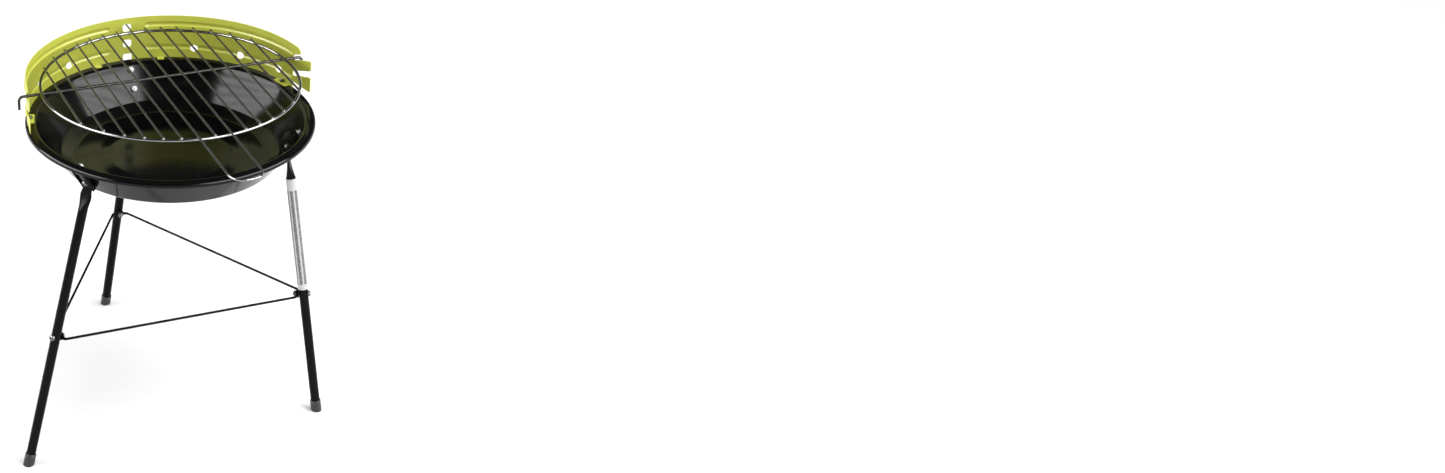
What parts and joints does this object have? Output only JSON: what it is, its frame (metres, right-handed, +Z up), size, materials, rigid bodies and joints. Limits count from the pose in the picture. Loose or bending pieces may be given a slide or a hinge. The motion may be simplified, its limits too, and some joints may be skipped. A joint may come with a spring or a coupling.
{
  "type": "tripod charcoal grill",
  "caption": "Round charcoal grill on a braced tripod: pressed bowl, half-round notched windshield, crossbar and lift-off wire grid with a loop handle.",
  "frame": {"origin": "on the ground at the centre of the footprint box", "axes": "+X to the right and +Y to the back seen from the handle's side, +Z up"},
  "size_m": [0.4664, 0.5636, 0.516],
  "materials": {
    "enamel": "glossy black enamel",
    "windshield_paint": "satin lime powder coat",
    "leg_paint": "semi-gloss black paint",
    "bright_steel": "bright plated wire",
    "bar_steel": "dull dark steel rod",
    "zinc": "bright zinc plate",
    "cap_plastic": "black moulded plastic",
    "label_film": "white printed film"
  },
  "bodies": {
    "frame": {"bowl": "enamel", "windshield": "windshield_paint", "windshield_right_bolt": "zinc", "windshield_right_nut": "zinc", "windshield_left_bolt": "zinc", "windshield_left_nut": "zinc", "leg_back": "leg_paint", "leg_left": "leg_paint", "leg_right": "leg_paint", "foot_cap_back": "cap_plastic", "foot_cap_left": "cap_plastic", "foot_cap_right": "cap_plastic", "bracket_back": "leg_paint", "bracket_left": "leg_paint", "bracket_right": "leg_paint", "bracket_back_upper_bolt": "zinc", "bracket_back_upper_nut": "zinc", "bracket_back_lower_bolt": "zinc", "bracket_back_lower_nut": "zinc", "bracket_left_upper_bolt": "zinc", "bracket_left_upper_nut": "zinc", "bracket_left_lower_bolt": "zinc", "bracket_left_lower_nut": "zinc", "bracket_right_upper_bolt": "zinc", "bracket_right_upper_nut": "zinc", "bracket_right_lower_bolt": "zinc", "bracket_right_lower_nut": "zinc", "brace_back_bolt": "zinc", "brace_back_nut": "zinc", "brace_left_bolt": "zinc", "brace_left_nut": "zinc", "brace_right_bolt": "zinc", "brace_right_nut": "zinc", "brace_back_left": "leg_paint", "brace_left_right": "leg_paint", "brace_right_back": "leg_paint", "leg_label": "label_film"},
    "crossbar": {"crossbar": "bar_steel"},
    "grid": {"grid_ring": "bright_steel", "grid_wire_left_7": "bright_steel", "grid_wire_left_6": "bright_steel", "grid_wire_left_5": "bright_steel", "grid_wire_left_4": "bright_steel", "grid_wire_left_3": "bright_steel", "grid_wire_left_2": "bright_steel", "grid_prong_wire": "bright_steel", "grid_wire_right_2": "bright_steel", "grid_wire_right_3": "bright_steel", "grid_wire_right_4": "bright_steel", "grid_wire_right_5": "bright_steel", "grid_wire_right_6": "bright_steel", "grid_wire_right_7": "bright_steel", "grid_handle_wire": "bright_steel"}
  },
  "joints": [
    {"name": "crossbar_pull", "type": "slide", "parent": "frame", "child": "crossbar", "axis": [0, -0.9397, 0.342], "range_m": [0, 0.06]},
    {"name": "grid_lift", "type": "slide", "parent": "crossbar", "child": "grid", "axis": [0, -0.9397, 0.342], "range_m": [0, 0.25]}
  ]
}
